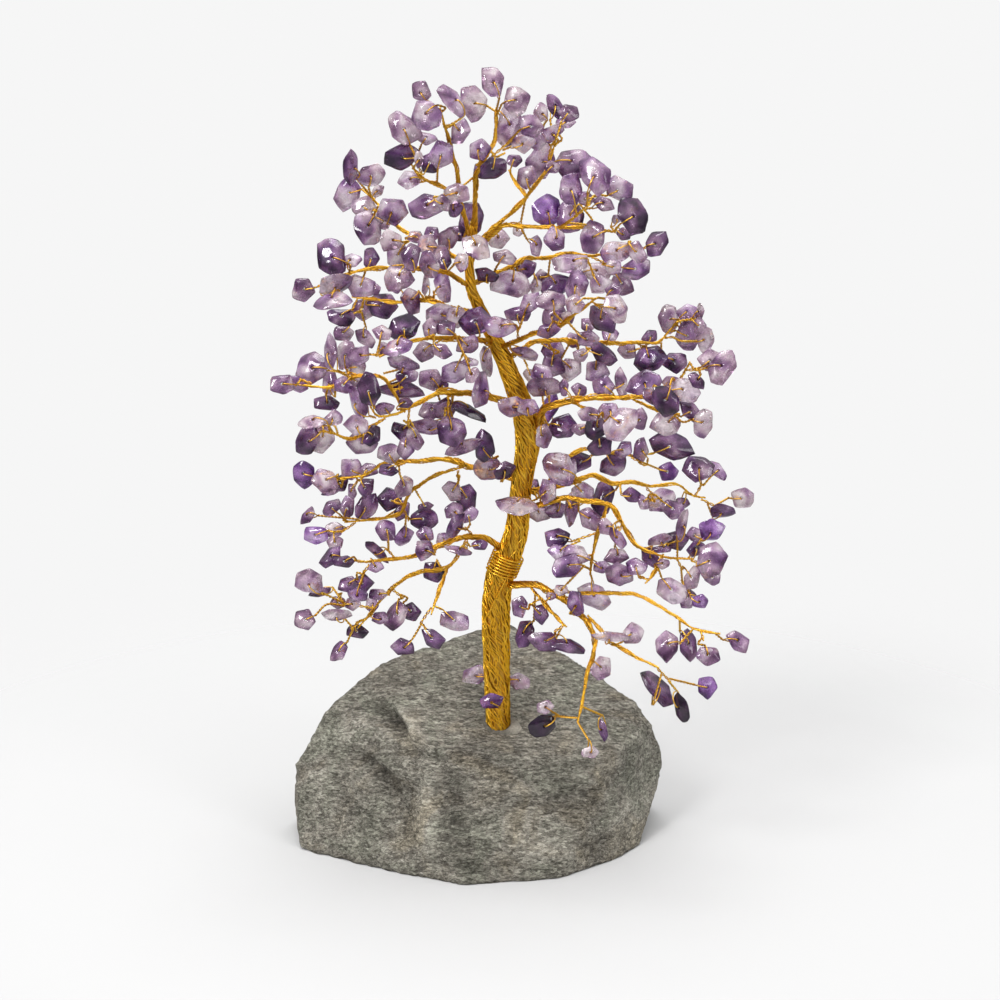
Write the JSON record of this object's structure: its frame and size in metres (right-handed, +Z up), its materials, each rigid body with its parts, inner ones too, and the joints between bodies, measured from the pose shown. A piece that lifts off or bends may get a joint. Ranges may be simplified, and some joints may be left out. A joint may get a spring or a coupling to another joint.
{
  "type": "gemstone tree ornament",
  "caption": "Table ornament: a twisted-wire tree whose twigs carry tumbled amethyst chips, set upright in a rough stone base.",
  "frame": {"origin": "a point of the stone's flat underside, straight below the place where the trunk's middle line leaves the stone", "axes": "+Z up along the trunk, -Y towards the viewer of the picture, +X to the viewer's right"},
  "size_m": [0.1655, 0.1301, 0.2733],
  "materials": {
    "stone": "rough",
    "cement": "rough",
    "gold_wire": "satin",
    "amethyst": "polished"
  },
  "bodies": {
    "root": {"stone_base": "stone", "socket_cement": "cement", "trunk_bundle": "gold_wire", "trunk_wrap": "gold_wire", "foot_twigs": "gold_wire", "foot_chips": "amethyst", "limb_01_bundle": "gold_wire", "limb_01_twigs": "gold_wire", "limb_01_chips": "amethyst", "limb_02_bundle": "gold_wire", "limb_02_twigs": "gold_wire", "limb_02_chips": "amethyst", "limb_03_bundle": "gold_wire", "limb_03_twigs": "gold_wire", "limb_03_chips": "amethyst", "limb_04_bundle": "gold_wire", "limb_04_twigs": "gold_wire", "limb_04_chips": "amethyst", "limb_05_bundle": "gold_wire", "limb_05_twigs": "gold_wire", "limb_05_chips": "amethyst", "limb_06_bundle": "gold_wire", "limb_06_twigs": "gold_wire", "limb_06_chips": "amethyst", "limb_07_bundle": "gold_wire", "limb_07_twigs": "gold_wire", "limb_07_chips": "amethyst", "limb_08_bundle": "gold_wire", "limb_08_twigs": "gold_wire", "limb_08_chips": "amethyst", "limb_09_bundle": "gold_wire", "limb_09_twigs": "gold_wire", "limb_09_chips": "amethyst", "limb_10_bundle": "gold_wire", "limb_10_twigs": "gold_wire", "limb_10_chips": "amethyst", "limb_11_bundle": "gold_wire", "limb_11_twigs": "gold_wire", "limb_11_chips": "amethyst", "limb_12_bundle": "gold_wire", "limb_12_twigs": "gold_wire", "limb_12_chips": "amethyst", "limb_13_bundle": "gold_wire", "limb_13_twigs": "gold_wire", "limb_13_chips": "amethyst", "limb_14_bundle": "gold_wire", "limb_14_twigs": "gold_wire", "limb_14_chips": "amethyst", "limb_15_bundle": "gold_wire", "limb_15_twigs": "gold_wire", "limb_15_chips": "amethyst", "limb_16_bundle": "gold_wire", "limb_16_twigs": "gold_wire", "limb_16_chips": "amethyst", "limb_17_bundle": "gold_wire", "limb_17_twigs": "gold_wire", "limb_17_chips": "amethyst", "limb_18_bundle": "gold_wire", "limb_18_twigs": "gold_wire", "limb_18_chips": "amethyst"}
  },
  "joints": []
}
